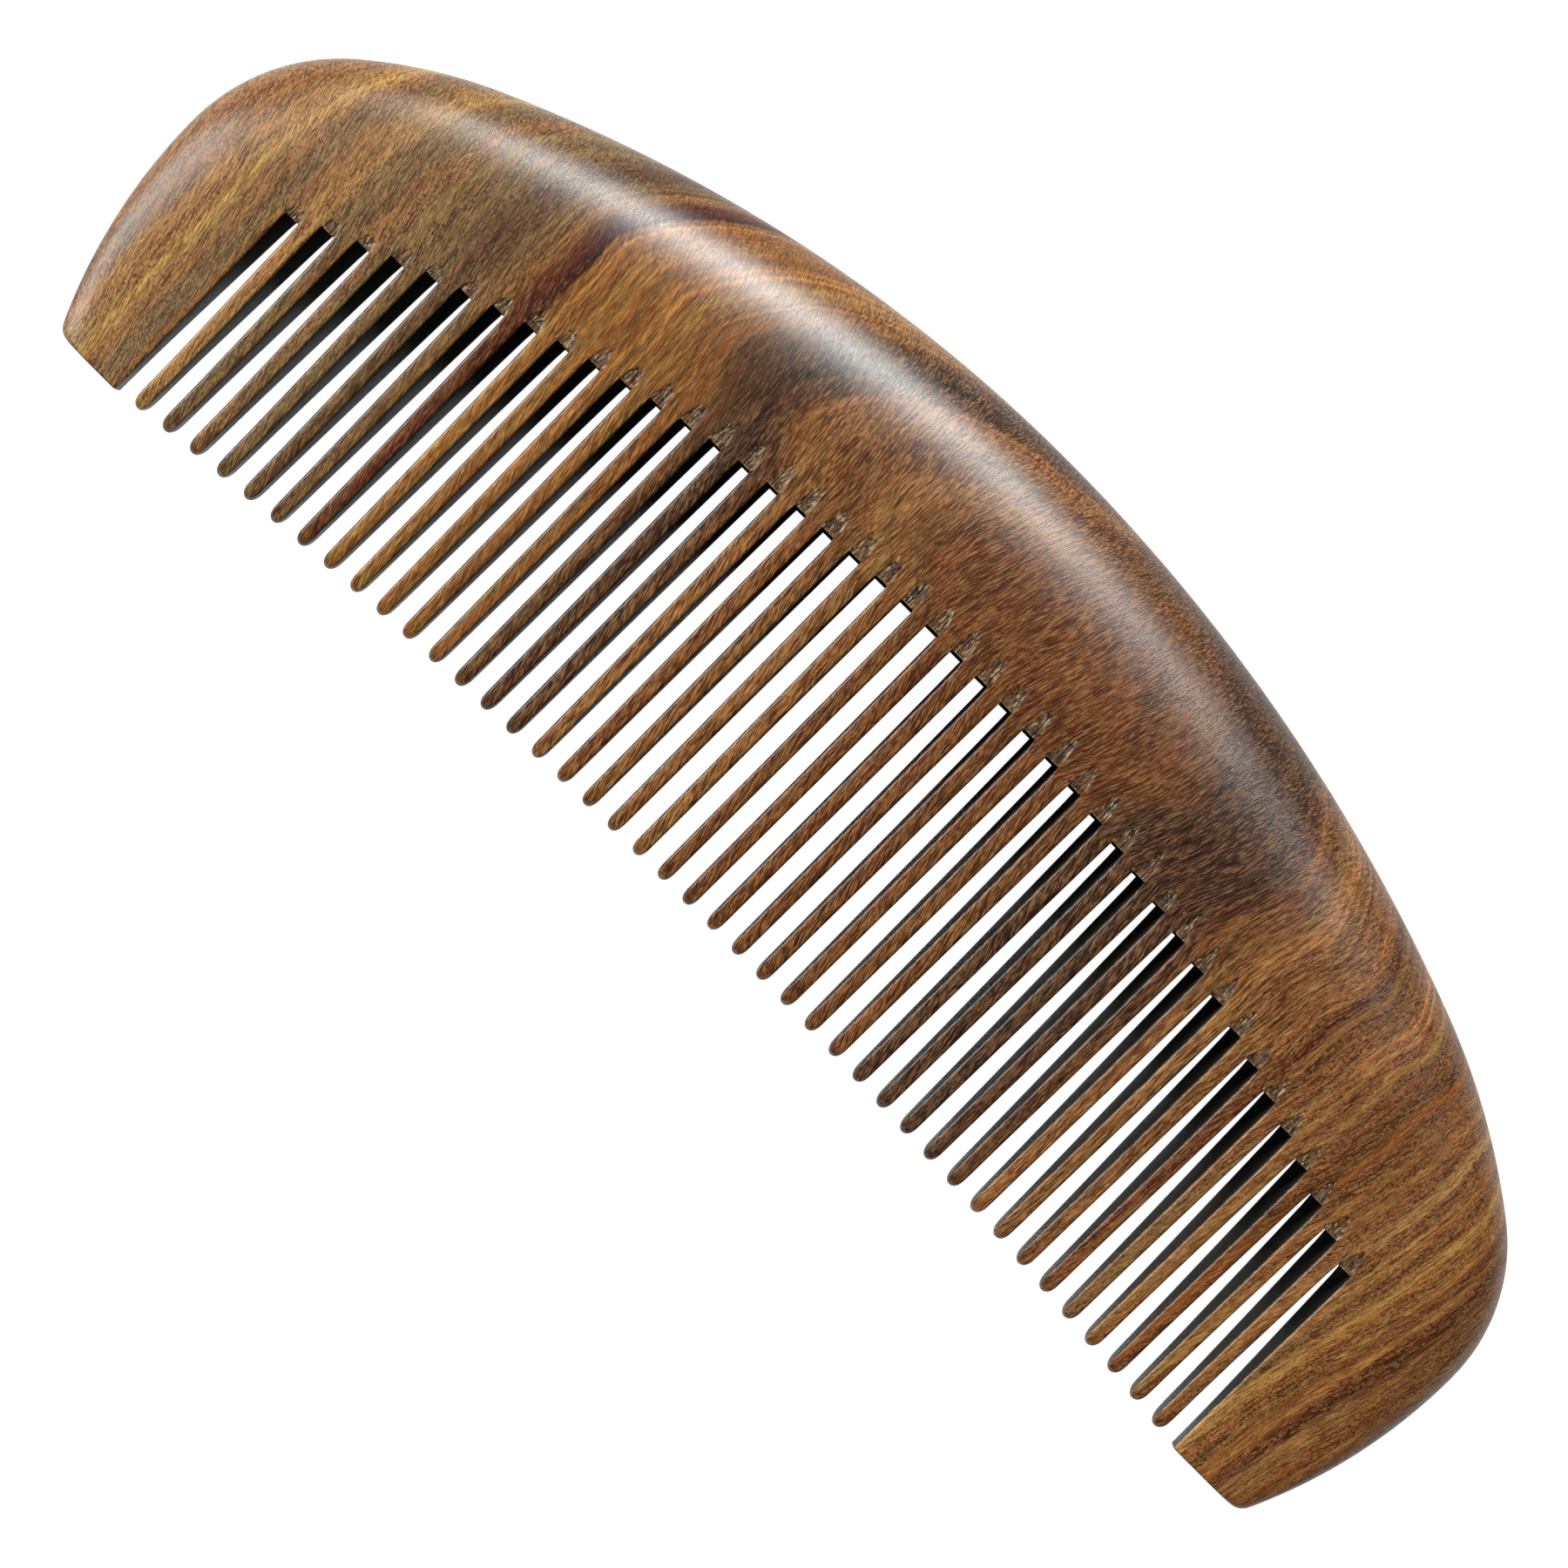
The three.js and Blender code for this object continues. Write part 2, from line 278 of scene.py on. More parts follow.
def back_face(outline, columns, random):
    """Grids of x, y, height, run-out share and painted shade share: rows from the root line to the outline."""
    x, root, slot, across = columns
    full_depth = RIM_ASPECT * wedge_half(outline[:, 1])
    ring_x = outline[:, 0] + full_depth * outline[:, 2]
    edge = np.column_stack([np.interp(x, ring_x, outline[:, k]) for k in range(4)])
    edge[:, 2:] /= np.linalg.norm(edge[:, 2:], axis=1)[:, None]
    depth = RIM_ASPECT * wedge_half(edge[:, 1])
    ring_y = np.maximum(edge[:, 1] + depth * edge[:, 3], root)

    near = np.concatenate([[0, 0.006, 0.014, 0.026, 0.045], np.linspace(0.08, 1, 16)])
    band = np.minimum(RUNOUT_BAND, (ring_y - root) / 2)
    above = near[:, None] * band
    far = np.linspace(0, 1, FACE_ROWS + 1)[1:, None]
    face_y = np.vstack([root + above, root + band + far * (ring_y - root - band)])
    face_x = np.tile(x, (len(face_y), 1))
    groove, share = runout(x, above, slot, across, random)
    in_slot = (slot >= 0) * np.clip((1 - np.abs(across)) / 0.12, 0, 1)
    inside = np.clip(ROOT_EDGE - above, 0, ROOT_EDGE)
    bevel = (ROOT_EDGE - np.sqrt(ROOT_EDGE ** 2 - inside ** 2)) * in_slot
    height = wedge_half(face_y)
    height[:len(near)] -= groove + bevel

    angles = np.radians(np.linspace(90, 0, RIM_STEPS + 1))[1:, None]
    inwards = depth * (1 - np.cos(angles))
    rim_x, rim_y = edge[:, 0] + inwards * edge[:, 2], edge[:, 1] + inwards * edge[:, 3]
    rim_height = wedge_half(rim_y) * np.sin(angles)
    rim_height[-1] = 0

    shares = np.zeros((len(face_y) + RIM_STEPS, len(x)))
    shares[:len(near)] = share
    slot_shades = np.zeros_like(shares)
    # Painted shade: the end wall at each slot's root takes the dark slot colour.
    slot_shades[0] = slot >= 0
    grids = [np.vstack(pair) for pair in ((face_x, rim_x), (face_y, rim_y), (height, rim_height))]
    return [*grids, shares, slot_shades]


def make_back(material):
    random = np.random.default_rng(11)
    outline, columns = arch_outline(), root_columns()
    upper, lower = (back_face(outline, columns, random) for _ in range(2))
    rows, count = upper[0].shape
    top = np.arange(rows * count).reshape(rows, count)
    under = top + rows * count
    under[-1] = top[-1]

    def points(grids, sign):
        x, y, height = grids[:3]
        return np.column_stack([x.ravel(), y.ravel(), sign * height.ravel()])

    corners = np.vstack([points(upper, 1), points(lower, -1)[:-count]])
    faces = []
    for row in range(rows - 1):
        for i in range(count - 1):
            a, b, c, d = top[row, i], top[row, i + 1], top[row + 1, i + 1], top[row + 1, i]
            faces.append((a, b, c, d))
            a, b, c, d = under[row, i], under[row, i + 1], under[row + 1, i + 1], under[row + 1, i]
            faces.append((d, c, b, a))
    faces += [(top[0, i + 1], top[0, i], under[0, i], under[0, i + 1]) for i in range(count - 1)]
    for i, flip in ((0, False), (count - 1, True)):
        for row in range(rows - RIM_STEPS - 1, rows - 1):
            quad = (top[row, i], top[row + 1, i], under[row + 1, i], under[row, i])
            faces.append(quad[::-1] if flip else quad)
    shares = np.concatenate([upper[3].ravel(), lower[3].ravel()[:-count]])
    slot_shades = np.concatenate([upper[4].ravel(), lower[4].ravel()[:-count]])
    corners, faces, (shares, slot_shades) = merge_points(corners, faces, (shares, slot_shades))
    mesh_piece("back_wood", "back", corners, faces, material, runout=shares, wall=slot_shades)


def merge_points(corners, faces, attributes):
    """Joins points that coincide and drops the faces that shrink to nothing."""
    keys, first, place = np.unique(np.round(corners, 5), axis=0, return_index=True, return_inverse=True)
    place = place.ravel()
    merged = []
    for face in faces:
        kept = []
        for corner in (int(place[i]) for i in face):
            if corner not in kept:
                kept.append(corner)
        if len(kept) > 2:
            merged.append(tuple(kept))
    return keys, merged, [values[first] for values in attributes]


def loft_faces(rings, size):
    """Quads between rings of points that are wound alike, with a face across each end."""
    faces = []
    for ring in range(rings - 1):
        for i in range(size):
            a, b = ring * size + i, ring * size + (i + 1) % size
            faces.append((a, b, b + size, a + size))
    last = (rings - 1) * size
    faces.append(tuple(range(size))[::-1])
    faces.append(tuple(range(last, last + size)))
    return faces


def blunt(distance, reach):
    """Share of the full size left at a distance from a blunt end."""
    return (1 - (1 - np.clip(distance / reach, 0, 1)) ** TIP_POWER) ** (1 / TIP_POWER)


def make_tooth(index, material):
    number = index + 1
    tip, centre = TIP_Y[index], TOOTH_X[index]
    (left_x, left_y), (right_x, right_y) = tooth_root(index)
    length = (left_y + right_y) / 2 - tip
    near_tip = [0.004, 0.03, 0.08, 0.16, 0.27, 0.42, 0.62, 0.86, 1.15, 1.7, 2.6]
    near_root = [length - gap for gap in (EDGE_FADE, 1.1, 0.8, 0.5, 0.25, 0.08, 0)]
    along = np.concatenate([near_tip, np.linspace(4, near_root[0] - 0.8, 16), near_root])

    turns = np.radians(np.linspace(0, 90, 7))
    corners, slot_shades = [], []
    for distance in along:
        half_width = tooth_width(distance) / 2 * blunt(distance, TIP_ROUND)
        thickness = blunt(distance, TIP_THINNING)
        fade = smooth_rise(length - distance, 0, EDGE_FADE)
        edge = ROOT_EDGE / 2 + (TOOTH_EDGE - ROOT_EDGE / 2) * fade
        edge_x = min(edge, 0.85 * half_width)
        for side, face in ((1, 1), (-1, 1), (-1, -1), (1, -1)):
            order = turns if side * face > 0 else turns[::-1]
            wanted = [(half_width - edge_x * (1 - math.cos(turn)), math.sin(turn)) for turn in order]
            for out, rise in wanted:
                across = side * out
                level = left_y + (right_y - left_y) * (centre + across - left_x) / (right_x - left_x)
                y = tip + distance * (level - tip) / length
                half = wedge_half(y) * thickness
                edge_z = min(edge * 1.2, 0.85 * half)
                corners.append((centre + across, y, face * (half - edge_z * (1 - rise))))
                # Painted shade: the tooth's sides, which face into the slots, take the dark slot colour.
                slot_shades.append(1 - smooth_rise(rise, 0.05, 0.95))
    size = 4 * len(turns)
    mesh_piece(f"tooth_{number:02d}_wood", f"tooth_{number:02d}", corners,
               loft_faces(len(along), size), material, wall=slot_shades)


def guard_section(side, y, end_inset):
    """Points round a guard at a level y: the elliptical outer edge, the faces and the inner wall."""
    half = wedge_half(y) - end_inset
    reach, slant = guard_reach(y)
    rim_depth = RIM_ASPECT * wedge_half(y) / slant
    wall_x = guard_wall(side, y) + end_inset
    fade = smooth_rise(ROOT_END_Y - y, 0, EDGE_FADE)
    edge = ROOT_EDGE / 2 + (TOOTH_EDGE - ROOT_EDGE / 2) * fade
    edge_z = min(edge, 0.8 * half)

    rim = np.radians(np.linspace(0, 90, RIM_STEPS + 1))
    rim_end = reach - end_inset
    upper = [(rim_end - rim_depth * (1 - math.cos(turn)), half * math.sin(turn), 0) for turn in rim]
    face_start, face_end = upper[-1][0], wall_x + edge
    for share in np.linspace(0, 1, 10)[1:]:
        upper.append((face_start + (face_end - face_start) * share, half, 0))
    # Painted shade: the points round the inner wall's edge carry a share of the dark slot colour, full on the
    # wall.
    for turn in np.radians(np.linspace(0, 90, 6))[1:]:
        rise = 1 - math.cos(turn)
        upper.append((wall_x + edge * (1 - math.sin(turn)), half - edge_z * rise, smooth_rise(rise, 0.2, 0.9)))
    lower = [(x, -z, wall) for x, z, wall in reversed(upper[1:])]
    return upper + lower


def make_guard(node, side, material):
    corner_y = FLAT_END_Y + GUARD_CORNER_RADIUS
    levels = np.concatenate([
        ROOT_END_Y - np.array([0, 0.1, 0.3, 0.6, 0.9, 1.2, 1.5]),
        np.linspace(ROOT_END_Y - 2.2, corner_y, 20),
        corner_y - GUARD_CORNER_RADIUS * np.sin(np.radians([15, 30, 42, 52]))])
    insets = [0.0] * len(levels)
    for turn in np.radians(np.linspace(0, 90, 6)):
        levels = np.append(levels, FLAT_END_Y + GUARD_END_ROUND * (1 - math.sin(turn)))
        insets.append(GUARD_END_ROUND * (1 - math.cos(turn)))
    corners, slot_shades = [], []
    for y, inset in zip(levels, insets):
        section = guard_section(side, y, inset)
        corners += [(side * x, y, z) for x, z, wall in section]
        slot_shades += [wall for x, z, wall in section]
    faces = loft_faces(len(levels), len(section))
    if side < 0:
        faces = [face[::-1] for face in faces]
    mesh_piece(f"{node}_wood", node, corners, faces, material, wall=slot_shades)


# ---- Material ----

class Graph:
    """Short calls that make shader nodes and join them."""

    def __init__(self, tree):
        self.tree = tree
        tree.nodes.clear()

    def node(self, kind, inputs=(), **settings):
        """Makes a node with its inputs, each given by name or number as a value or another node's output."""
        node = self.tree.nodes.new(kind)
        for name, value in settings.items():
            setattr(node, name, value)
        for key, value in dict(inputs).items():
            self.feed(node.inputs[key], value)
        return node

    def feed(self, socket, value):
        if isinstance(value, bpy.types.NodeSocket):
            self.tree.links.new(value, socket)
        else:
            socket.default_value = value

    def math(self, operation, a, b=0.0, c=0.0):
        return self.node("ShaderNodeMath", {0: a, 1: b, 2: c}, operation=operation).outputs[0]

    def add(self, a, b):
        return self.math("ADD", a, b)

    def times(self, a, b):
        return self.math("MULTIPLY", a, b)

    def stretch(self, vector, scale):
        inputs = {0: vector, 1: scale}
        return self.node("ShaderNodeVectorMath", inputs, operation="MULTIPLY").outputs[0]

    def combine(self, x, y, z):
        return self.node("ShaderNodeCombineXYZ", {0: x, 1: y, 2: z}).outputs[0]

    def noise(self, vector, scale, detail=2.0, roughness=0.5):
        """Noise from 0 to 1 whose grains are 1/scale millimetres long on each axis."""
        inputs = {"Vector": self.stretch(vector, scale), "Scale": 1.0,
                  "Detail": detail, "Roughness": roughness}
        return self.node("ShaderNodeTexNoise", inputs).outputs[0]

    def rise(self, value, low, high, start=0.0, end=1.0):
        inputs = {"Value": value, "From Min": low, "From Max": high, "To Min": start, "To Max": end}
        return self.node("ShaderNodeMapRange", inputs, interpolation_type="SMOOTHSTEP").outputs[0]

    def mix(self, share, a, b, blend="MIX"):
        node = self.node("ShaderNodeMix", {0: share, 6: a, 7: b}, data_type="RGBA", blend_type=blend)
        return node.outputs[2]

    def ramp(self, value, stops):
        node = self.node("ShaderNodeValToRGB", {0: value})
        elements = node.color_ramp.elements
        elements.remove(elements[1])
        for i, (position, colour) in enumerate(stops):
            element = elements[0] if i == 0 else elements.new(position)
            element.position = position
            element.color = colour
        return node.outputs[0]


WOOD_GAIN = (0.495, 0.42, 0.465)            # what brings the studio lights back to the colour wanted
WOOD_GLOSS = 0.012                          # and what their gloss adds to it


def wood_tone(red, green, blue):
    """Surface colour of wood that looks like this display colour, from 0 to 255, under the studio lights."""
    linear = [(((level / 255) + 0.055) / 1.055) ** 2.4 for level in (red, green, blue)]
    return (*[max(value - WOOD_GLOSS, 0.002) * gain for value, gain in zip(linear, WOOD_GAIN)], 1.0)


PALE = wood_tone(205, 158, 100)
STRAW = wood_tone(165, 126, 69)
GOLD = wood_tone(154, 107, 54)
HONEY = wood_tone(140, 98, 55)
AMBER = wood_tone(131, 88, 48)
TAN = wood_tone(124, 83, 46)
CHESTNUT = wood_tone(112, 70, 39)
UMBER = wood_tone(95, 57, 35)
OXBLOOD = wood_tone(84, 46, 32)
RUSSET = wood_tone(103, 65, 40)
OLIVE = wood_tone(118, 92, 56)
MOSS = wood_tone(109, 84, 52)
BARK = wood_tone(91, 63, 41)
SMOKE = wood_tone(74, 52, 38)
# Painted shade: the dark grey-green the slot walls take, standing in for the shadow deep in the slots.
SLOT_SHADE = wood_tone(58, 62, 57)
TORN_DARK = wood_tone(46, 34, 20)
TORN_BROWN = wood_tone(120, 80, 38)
# Pale torn strands, and also a painted highlight along each slot's root edge.
TORN_PALE_AND_GLINT = wood_tone(215, 200, 140)

# The wood's growth layers curve round a line above the near face, so each colour band is set by its
# distance from that line. Bands are listed by their x on the near face.
HEART_X = 9.0
CURVE_LEFT, CURVE_RIGHT = 190.0, 60.0       # how strongly depth below the near face bends the bands
LOOP = 14.0                                 # half width of the closed loop in the middle of the back
HEART_BLEND = 9.0                           # half width of the change from the left bands to the right
BANDS_SPAN = 110.0                          # distance from the line that the colour ramps cover
SWAY, RAGGED = 3.0, 1.6                     # how far the bands wander and how far their edges fray
BAND_LEAN = -0.17                           # how much the bands of the right end lean
BANDS_LEFT = [
    (-95, OLIVE), (-86, HONEY), (-81, AMBER), (-77, STRAW), (-75.4, HONEY), (-73.5, OLIVE),
    (-71, HONEY), (-68.8, STRAW), (-67.4, OLIVE), (-65.6, MOSS), (-64.2, HONEY), (-61.5, OLIVE),
    (-57.5, MOSS), (-55.6, BARK), (-52.5, OLIVE), (-51, AMBER), (-49.8, AMBER), (-49.3, OXBLOOD),
    (-47.2, OXBLOOD), (-46.7, GOLD), (-38, GOLD), (-31.5, AMBER), (-29, BARK), (-26, SMOKE),
    (-22.5, BARK), (-21, AMBER), (-18, HONEY), (-15.5, CHESTNUT), (-7, HONEY), (-3, CHESTNUT),
]
BANDS_RIGHT = [
    (9, UMBER), (15, CHESTNUT), (21.5, CHESTNUT), (23.5, BARK), (26, SMOKE), (36, SMOKE),
    (38.6, RUSSET), (40.6, TAN), (43.5, AMBER), (46.6, AMBER), (47.1, OXBLOOD), (47.6, AMBER),
    (50.8, TAN), (51.8, OXBLOOD), (52.6, TAN), (53.6, CHESTNUT), (55, HONEY), (60, AMBER),
    (61.6, CHESTNUT), (63.2, CHESTNUT), (64.4, AMBER), (67.6, AMBER), (68.6, HONEY), (72, AMBER),
    (75.6, GOLD), (77.6, CHESTNUT), (78.6, AMBER), (79.3, CHESTNUT), (80.6, RUSSET), (81.7, AMBER),
]
# The right side's hue is partly painted sheen: its strong blue lays a bluish gleam into the wood's colour.
TINT_LEFT, TINT_AND_SHEEN_RIGHT = (1.02, 1.02, 0.94), (1.05, 1.09, 1.22)          # each side's overall hue
OLIVE_TINT, RED_TINT = (0.94, 1.06, 1.05, 1), (1.07, 0.93, 0.84, 1)     # between which layers vary


def band_stops(bands, tint):
    """Ramp stops for bands listed by x, with the loop's lighter wood at the start."""
    listed = sorted((math.hypot(x - HEART_X, LOOP) / BANDS_SPAN, colour) for x, colour in bands)
    placed = [(0.0, TAN), (0.1, CHESTNUT)] + listed
    return [(place, (*np.multiply(colour[:3], tint), 1.0)) for place, colour in placed]


def stops(graph, noise, low, high, reach):
    """Brightness change in stops from a noise whose values between low and high matter."""
    return graph.rise(noise, low, high, -reach, reach)


def shaded(graph, colour, change):
    """Colour made brighter by a change in stops, or darker and redder where the change is below zero."""
    gains = [graph.math("POWER", 2.0, graph.times(change, share)) for share in (0.85, 1.05, 1.15)]
    return graph.mix(1.0, colour, graph.combine(*gains), "MULTIPLY")


def wood_place(graph):
    """Place in the wood, in millimetres from the middle of the comb."""
    place = graph.node("ShaderNodeTexCoord").outputs["Object"]
    centred = graph.node("ShaderNodeVectorMath", {0: place, 1: (0, 0, MID_Z * MM)}, operation="SUBTRACT")
    return graph.stretch(centred.outputs[0], (1 / MM,) * 3)


def wood_bands(graph, place, fibres):
    """Colour bands of the growth layers, and the fine rings between them as a brightness in stops."""
    x, y, z = graph.node("ShaderNodeSeparateXYZ", {0: place}).outputs
    sway = graph.noise(place, (0.055, 0.03, 0.055), 2.0)
    ragged = graph.noise(fibres, (2.5, 0.15, 1.5), 3.0, 0.7)
    x = graph.add(x, graph.times(graph.add(sway, -0.5), SWAY))
    x = graph.add(x, graph.times(graph.add(ragged, -0.5), RAGGED))
    lean = graph.times(graph.rise(x, 42, 78), graph.times(graph.add(y, 6), BAND_LEAN))
    x = graph.add(x, lean)
    near_face = graph.add(graph.times(graph.add(y, -WEDGE_Y), WEDGE_SLOPE), WEDGE_HALF)
    below = graph.math("MAXIMUM", graph.math("SUBTRACT", near_face, z), 0.0)
    across = graph.math("POWER", graph.add(x, -HEART_X), 2.0)
    loop = graph.rise(y, 9, 15.5, LOOP ** 2, 0.0)
    curve = graph.rise(x, HEART_X - HEART_BLEND, HEART_X + HEART_BLEND, CURVE_LEFT, CURVE_RIGHT)
    layer = graph.math("SQRT", graph.add(graph.add(across, loop), graph.times(below, curve)))
    side = graph.rise(x, HEART_X - HEART_BLEND, HEART_X + HEART_BLEND)
    along = graph.combine(layer, graph.times(side, 40), y)
    broad = stops(graph, graph.noise(along, (0.8, 1, 0.01), 2.0), 0.4, 0.6, 0.55)
    streaks = stops(graph, graph.noise(along, (3.2, 1, 0.015), 2.0, 0.6), 0.36, 0.66, 0.55)
    strength = graph.rise(x, -20, 50, 0.75, 1.2)
    rings = graph.times(graph.add(broad, streaks), graph.rise(layer, 14, 50, 0.35, strength))
    share = graph.times(layer, 1 / BANDS_SPAN)
    left = graph.ramp(share, band_stops(BANDS_LEFT, TINT_LEFT))
    right = graph.ramp(share, band_stops(BANDS_RIGHT, TINT_AND_SHEEN_RIGHT))
    hue = graph.noise(along, (1.1, 1.7, 0.02), 2.0)
    tint = graph.mix(graph.rise(hue, 0.38, 0.62), OLIVE_TINT, RED_TINT)
    return graph.mix(1.0, graph.mix(side, left, right), tint, "MULTIPLY"), rings


FIBRE_TURN_Y = 7.0                          # level below which the fibres take the teeth's lean
WANDER, RIPPLE = 3.5, 0.5                   # how far the fibres drift and waver to the side
FIBRE_RELIEF = 0.005                        # height of the fibres in the bump, in millimetres


def fibre_place(graph, place):
    """Place along the fibres, which lean and wander from side to side as interlocked grain does."""
    x, y, z = graph.node("ShaderNodeSeparateXYZ", {0: place}).outputs
    wander = graph.noise(place, (0.07, 0.06, 0.07), 1.0)
    ripple = graph.noise(place, (0.4, 0.22, 0.4), 1.0)
    lean = graph.add(graph.rise(x, -26, 8, -0.16, 0.26), graph.rise(x, 38, 60, 0.0, -0.1))
    tooth_lean = graph.rise(x, 20, 62, -0.24, 0.22)
    above = graph.add(y, -FIBRE_TURN_Y)
    x = graph.math("SUBTRACT", x, graph.times(lean, graph.math("MAXIMUM", above, 0.0)))
    x = graph.math("SUBTRACT", x, graph.times(tooth_lean, graph.math("MINIMUM", above, 0.0)))
    x = graph.add(x, graph.times(wander, WANDER))
    x = graph.add(x, graph.times(ripple, RIPPLE))
    return graph.combine(x, y, z)


def wood_material():
    material = bpy.data.materials.new("figured_wood")
    material.use_nodes = True
    graph = Graph(material.node_tree)
    place = wood_place(graph)
    fibres = fibre_place(graph, place)
    colour, rings = wood_bands(graph, place, fibres)

    # Fibre shading in stops: long lines, finer ones, and flecks that show most in the dark rings of
    # both ends. The strongest light fibres turn pale.
    lines = stops(graph, graph.noise(fibres, (8.5, 0.35, 2.0), 1.0), 0.36, 0.54, 0.75)
    fine = stops(graph, graph.noise(fibres, (14.0, 1.1, 3.5), 1.0), 0.42, 0.58, 0.5)
    flecks = stops(graph, graph.noise(fibres, (9.0, 2.8, 3.0), 1.0), 0.4, 0.5, 0.8)
    x, y, z = graph.node("ShaderNodeSeparateXYZ", {0: place}).outputs
    outwards = graph.math("ABSOLUTE", graph.add(x, 2))
    ends = graph.rise(outwards, 42, 56, 0.1, 1.0)
    flecks = graph.times(graph.times(flecks, ends), graph.rise(rings, -0.5, 0.5, 1.0, 0.3))
    weight = graph.times(graph.rise(x, -34, -20, 0.75, 1.1), graph.rise(x, 42, 60, 1.0, 0.5))
    weight = graph.times(weight, graph.rise(y, 8, 0, 1.0, 1.3))
    shade = graph.times(graph.add(lines, fine), weight)
    shade = graph.add(shade, flecks)
    colour = shaded(graph, colour, graph.add(shade, rings))
    colour = graph.mix(graph.rise(shade, 0.8, 1.3, 0.0, 0.4), colour, PALE)

    # Torn fibres where the saw ran out, a painted highlight at the slot roots, and painted shade on the slot
    # walls.
    torn = graph.node("ShaderNodeAttribute", attribute_name="runout").outputs["Fac"]
    strands = graph.noise(place, (6.5, 0.9, 6.5), 1.0, 0.6)
    clumps = graph.noise(place, (2.6, 1.3, 2.6), 1.0)
    torn_colour = graph.mix(graph.rise(clumps, 0.42, 0.52), TORN_DARK, TORN_BROWN)
    torn_colour = graph.mix(graph.rise(strands, 0.57, 0.66), torn_colour, TORN_PALE_AND_GLINT)
    colour = graph.mix(graph.rise(torn, 0.0, 0.1, 0.0, 0.9), colour, torn_colour)
    # Painted highlight: a pale line right at each slot's root, where the edge catches the light.
    colour = graph.mix(graph.rise(torn, 0.95, 0.98, 0.0, 0.6), colour, TORN_PALE_AND_GLINT)
    # Painted shade: the slot walls take the dark slot colour.
    wall = graph.node("ShaderNodeAttribute", attribute_name="wall").outputs["Fac"]
    colour = graph.mix(wall, colour, SLOT_SHADE)

    roughness = graph.add(graph.times(fine, 0.08), 0.34)
    roughness = graph.add(roughness, graph.times(torn, 0.6))
    bump = graph.node("ShaderNodeBump", {"Strength": 0.5, "Distance": FIBRE_RELIEF * MM, "Height": shade})
    shader = graph.node("ShaderNodeBsdfPrincipled", {
        "Base Color": colour, "Roughness": roughness, "Normal": bump.outputs[0]})
    graph.node("ShaderNodeOutputMaterial", {"Surface": shader.outputs[0]})
    return material


# ---- Studio ----

# The camera looks straight down, with the comb's length falling from upper left to lower right.
CAMERA_AXIS = (-2.5, -1.2)                  # millimetres, where the lens axis meets the comb
CAMERA_HEIGHT = 335.0                       # above the middle plane
PICTURE_WIDTH = 149.85                      # what the picture spans in the middle plane
PICTURE_CENTRE = (-0.21, -11.28)
CAMERA_ROLL = 45.0
SENSOR_WIDTH = 36.0
SOFTBOX_COLOUR = (0.94, 1, 1)
FLOOR_REACH = 2.0                           # metres


def make_camera():
    data = bpy.data.cameras.new("camera")
    data.sensor_width = SENSOR_WIDTH
    data.lens = SENSOR_WIDTH * CAMERA_HEIGHT / PICTURE_WIDTH
    data.clip_start = 0.01
    roll = math.radians(CAMERA_ROLL)
    off_x, off_y = (centre - axis for centre, axis in zip(PICTURE_CENTRE, CAMERA_AXIS))
    data.shift_x = (off_x * math.cos(roll) + off_y * math.sin(roll)) / PICTURE_WIDTH
    data.shift_y = (off_y * math.cos(roll) - off_x * math.sin(roll)) / PICTURE_WIDTH
    camera = bpy.data.objects.new("camera", data)
    place = np.array([*CAMERA_AXIS, MID_Z + CAMERA_HEIGHT]) * MM
    camera.matrix_world = Matrix.Translation(place) @ Matrix.Rotation(roll, 4, "Z")
    bpy.context.scene.collection.objects.link(camera)
    bpy.context.scene.camera = camera


def softbox(name, tilt, towards, distance, size, radiance):
    """A rectangular light that faces the comb, tilted from overhead towards a direction in the plane."""
    data = bpy.data.lights.new(name, "AREA")
    data.shape = "RECTANGLE"
    data.size, data.size_y = size
    data.energy = radiance * math.pi * size[0] * size[1]
    data.color = SOFTBOX_COLOUR
    light = bpy.data.objects.new(name, data)
    turn = Matrix.Rotation(math.radians(towards), 4, "Z") @ Matrix.Rotation(math.radians(tilt), 4, "Y")
    light.matrix_world = turn @ Matrix.Translation((0, 0, distance))
    bpy.context.scene.collection.objects.link(light)


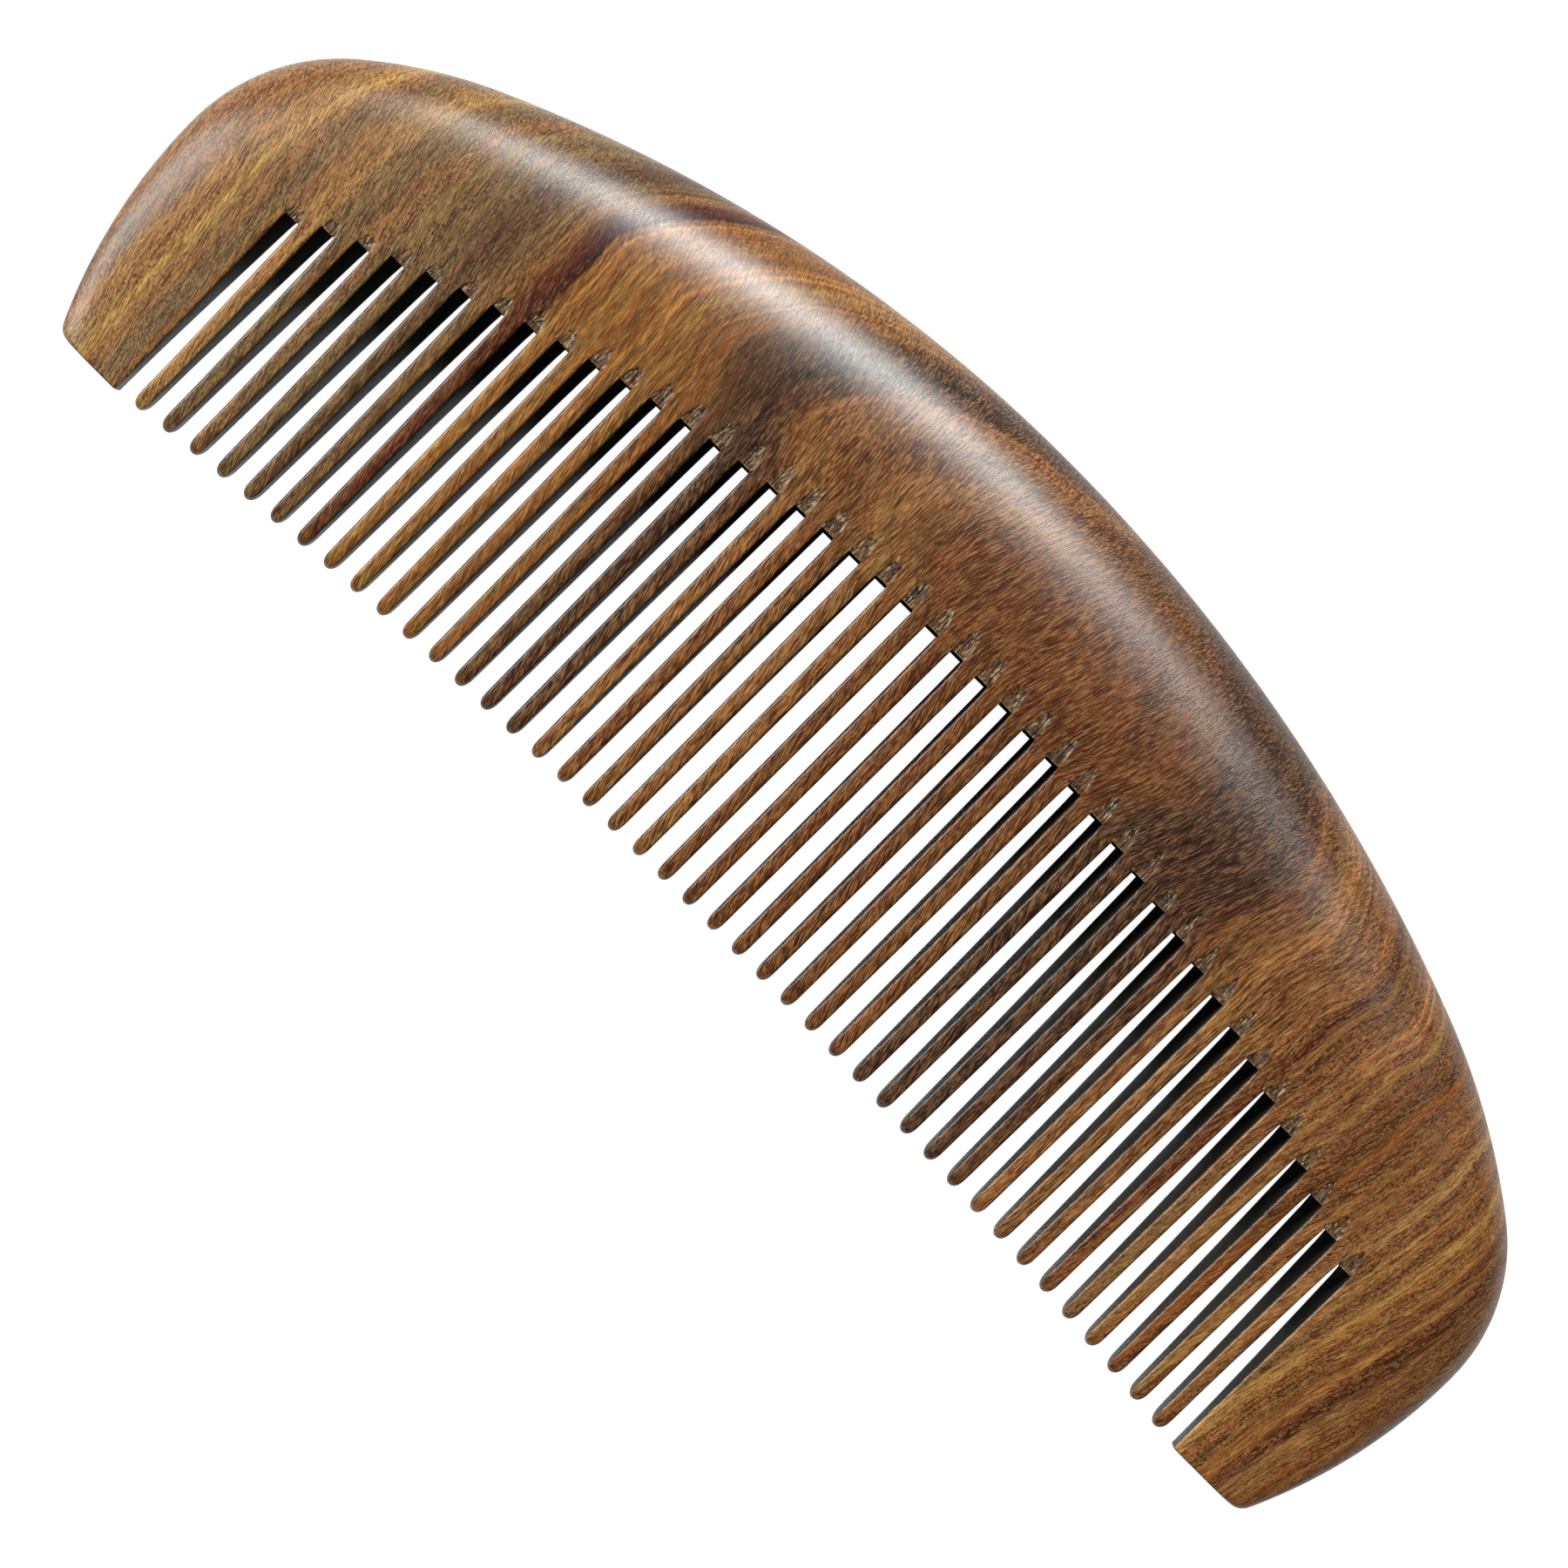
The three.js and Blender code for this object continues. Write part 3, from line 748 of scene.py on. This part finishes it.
def studio_world():
    """White to the camera. What lights the comb is a dim ceiling and a pale horizon, brighter at the back."""
    world = bpy.data.worlds.new("studio")
    world.use_nodes = True
    graph = Graph(world.node_tree)
    direction = graph.node("ShaderNodeTexCoord").outputs["Generated"]
    height = graph.node("ShaderNodeSeparateXYZ", {0: direction}).outputs[2]
    facing = graph.node("ShaderNodeVectorMath", {0: direction, 1: (-0.34, 0.94, 0)}, operation="DOT_PRODUCT")
    horizon = graph.rise(facing.outputs["Value"], -0.4, 0.7, 0.35, 0.95)
    strength = graph.times(graph.rise(height, 0.25, 0.0), horizon)
    strength = graph.add(strength, 0.05)
    seen = graph.node("ShaderNodeLightPath").outputs["Is Camera Ray"]
    fill = graph.node("ShaderNodeBackground", {"Strength": strength}).outputs[0]
    white = graph.node("ShaderNodeBackground", {"Color": (1, 1, 1, 1)}).outputs[0]
    graph.feed(fill.node.inputs["Color"], (1, 1, 1, 1))
    mixed = graph.node("ShaderNodeMixShader", {0: seen, 1: fill, 2: white}).outputs[0]
    graph.node("ShaderNodeOutputWorld", {"Surface": mixed})
    return world


def floor_material():
    """A pale floor, overexposed to the camera so that only the deepest shadows show."""
    material = bpy.data.materials.new("floor")
    material.use_nodes = True
    graph = Graph(material.node_tree)
    seen = graph.node("ShaderNodeLightPath").outputs["Is Camera Ray"]
    plain = graph.node("ShaderNodeBsdfDiffuse", {"Color": (0.8, 0.8, 0.8, 1)}).outputs[0]
    faint = graph.node("ShaderNodeBsdfDiffuse", {"Color": (0.15, 0.15, 0.15, 1)}).outputs[0]
    glow = graph.node("ShaderNodeEmission", {"Color": (1, 1, 1, 1), "Strength": 0.98}).outputs[0]
    overexposed = graph.node("ShaderNodeAddShader", {0: faint, 1: glow}).outputs[0]
    mixed = graph.node("ShaderNodeMixShader", {0: seen, 1: plain, 2: overexposed}).outputs[0]
    graph.node("ShaderNodeOutputMaterial", {"Surface": mixed})
    return material


def make_studio():
    scene = bpy.context.scene
    scene.view_settings.view_transform = "Standard"
    scene.world = studio_world()
    mesh = bpy.data.meshes.new("floor")
    sides = (-FLOOR_REACH, FLOOR_REACH)
    mesh.from_pydata([(x, y, 0) for y in sides for x in sides], [], [(0, 1, 3, 2)])
    mesh.materials.append(floor_material())
    floor = bpy.data.objects.new("floor", mesh)
    scene.collection.objects.link(floor)

    softbox("softbox_back", tilt=40.2, towards=109.7, distance=1.4, size=(0.32, 0.78), radiance=36)
    softbox("softbox_left", tilt=56.6, towards=196, distance=1.4, size=(0.83, 0.58), radiance=11)


make_camera()
wood = wood_material()
make_back(wood)
make_guard("end_guard_left", -1, wood)
make_guard("end_guard_right", 1, wood)
for tooth_index in range(TOOTH_COUNT):
    make_tooth(tooth_index, wood)
make_studio()
